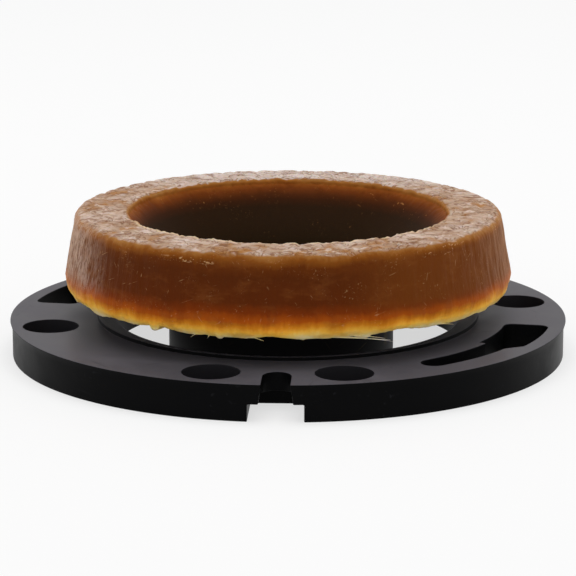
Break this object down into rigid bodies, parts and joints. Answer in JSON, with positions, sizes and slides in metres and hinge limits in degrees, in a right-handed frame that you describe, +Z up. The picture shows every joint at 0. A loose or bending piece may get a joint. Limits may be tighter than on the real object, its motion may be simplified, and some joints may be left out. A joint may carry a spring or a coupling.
{
  "type": "toilet pan seal",
  "caption": "Flared ring of brown sealing wax cast round a black plastic horn, standing in the bore of a flat black floor flange ring with screw recesses, keyhole slots and T-slots",
  "frame": {"origin": "centre of the flange ring's underside, on the floor, which is also the level of the horn's lower end", "axes": "+Z up out of the drain, +Y and -Y through the two T-slots in the rim, +X to the right of the picture"},
  "size_m": [0.1778, 0.1774, 0.0458],
  "materials": {
    "flange_plastic": "satin black moulded plastic",
    "horn_plastic": "black moulded plastic with a semi-gloss skin",
    "wax": "brown translucent sealing wax, creased on top and yellow at its thin foot"
  },
  "bodies": {
    "root": {"flange_ring": "flange_plastic", "horn": "horn_plastic", "wax_ring": "wax"}
  },
  "joints": []
}
